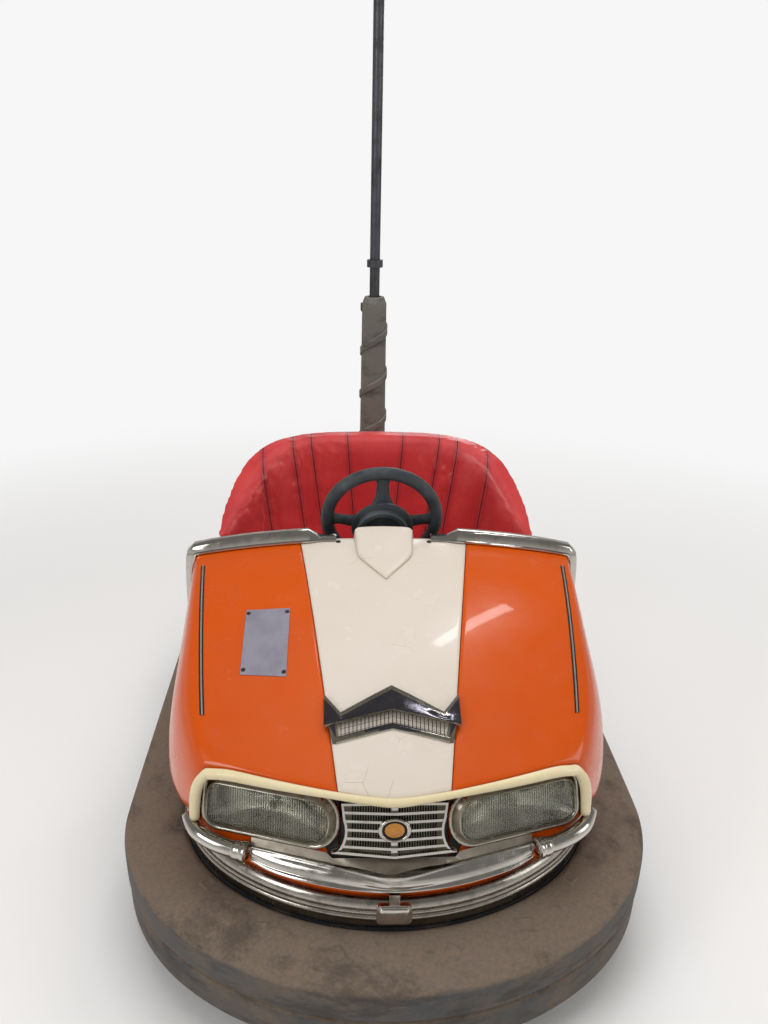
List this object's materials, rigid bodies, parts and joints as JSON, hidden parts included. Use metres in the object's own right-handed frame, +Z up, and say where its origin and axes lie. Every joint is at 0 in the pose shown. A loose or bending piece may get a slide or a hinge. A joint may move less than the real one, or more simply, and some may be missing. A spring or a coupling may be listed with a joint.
{
  "type": "fairground bumper car",
  "caption": "Oval two-seat fairground bumper car with rubber ring, chrome front, padded bench, steered drive wheel and sprung pick-up mast.",
  "frame": {"origin": "on the floor under the middle of the rubber ring", "axes": "+Z up along the mast, -Y towards the front of the car, +X towards the car's left, the right of the picture"},
  "size_m": [1.14, 1.95, 2.6998],
  "materials": {
    "painted_orange": "gloss two-pack paint on moulded panels",
    "painted_cream": "gloss paint",
    "bright_chrome": "polished, slightly pitted",
    "chassis_paint": "satin black",
    "ring_rubber": "worn black rubber with brown dust",
    "wheel_rubber": "solid rubber",
    "red_vinyl": "stitched vinyl",
    "lamp_glass": "fluted clear glass",
    "amber_enamel": "amber badge",
    "plate_alloy": "blank plate",
    "black_plastic": "moulded, worn",
    "sleeve_rubber": "padded sleeve",
    "steel": "dull steel",
    "bronze_shoe": "worn contact bronze",
    "motor_paint": "satin blue-grey"
  },
  "bodies": {
    "car_body": {"chassis_frame": "chassis_paint", "floor_pan": "chassis_paint", "drive_bridge": "chassis_paint", "rear_axle_brackets": "chassis_paint", "rubber_ring": "ring_rubber", "base_rail": "bright_chrome", "base_rail_clamp": "bright_chrome", "body_skirt": "painted_orange", "front_shell": "painted_orange", "bonnet_panel": "painted_cream", "rear_shell": "painted_orange", "bulkhead": "chassis_paint", "dash_panel": "black_plastic", "nose_panel": "painted_orange", "brow_moulding": "painted_cream", "headlamp_bezel_left": "bright_chrome", "headlamp_bezel_right": "bright_chrome", "headlamp_lens_left": "lamp_glass", "headlamp_lens_right": "lamp_glass", "headlamp_reflector_left": "bright_chrome", "headlamp_reflector_right": "bright_chrome", "grille": "bright_chrome", "grille_badge": "amber_enamel", "bumper_bar": "bright_chrome", "bumper_shelf": "bright_chrome", "overriders": "bright_chrome", "bonnet_scoop": "bright_chrome", "cowl_rail_left": "bright_chrome", "cowl_rail_right": "bright_chrome", "wing_strips": "bright_chrome", "blank_plate": "plate_alloy", "steering_nacelle": "painted_cream", "column_tube": "steel", "seat_plinth": "chassis_paint", "seat_cushion": "red_vinyl", "seat_back": "red_vinyl", "pedal": "black_plastic", "mast_socket": "steel", "mast_sleeve": "sleeve_rubber", "mast_cable": "sleeve_rubber"},
    "drive_unit": {"drive_fork": "steel", "drive_motor": "motor_paint"},
    "drive_wheel": {"drive_wheel": "wheel_rubber"},
    "steering_wheel": {"steering_wheel": "black_plastic"},
    "rear_wheel_left": {"rear_wheel_left": "wheel_rubber"},
    "rear_wheel_right": {"rear_wheel_right": "wheel_rubber"},
    "mast": {"mast_pole": "steel", "mast_contact": "bronze_shoe"}
  },
  "joints": [
    {"name": "drive_unit_swivel", "type": "hinge", "parent": "car_body", "child": "drive_unit", "pos_m": [0, -0.43, 0.3], "axis": [0, 0, 1], "continuous": true},
    {"name": "drive_wheel_spin", "type": "hinge", "parent": "drive_unit", "child": "drive_wheel", "pos_m": [0, -0.43, 0.12], "axis": [1, 0, 0], "continuous": true},
    {"name": "steering_wheel_turn", "type": "hinge", "parent": "car_body", "child": "steering_wheel", "pos_m": [0, -0.03, 0.738], "axis": [0, 0.9613, 0.2756], "continuous": true},
    {"name": "rear_wheel_left_spin", "type": "hinge", "parent": "car_body", "child": "rear_wheel_left", "pos_m": [-0.3, 0.5, 0.076], "axis": [1, 0, 0], "continuous": true},
    {"name": "rear_wheel_right_spin", "type": "hinge", "parent": "car_body", "child": "rear_wheel_right", "pos_m": [0.3, 0.5, 0.076], "axis": [1, 0, 0], "continuous": true},
    {"name": "mast_press", "type": "slide", "parent": "car_body", "child": "mast", "axis": [0, 0, 1], "range_m": [-0.08, 0], "stiffness_N_per_m": 600, "springref_m": 0.1}
  ],
  "couplings": [
    {"joint": "steering_wheel_turn", "follows": "drive_unit_swivel", "ratio": 1}
  ]
}
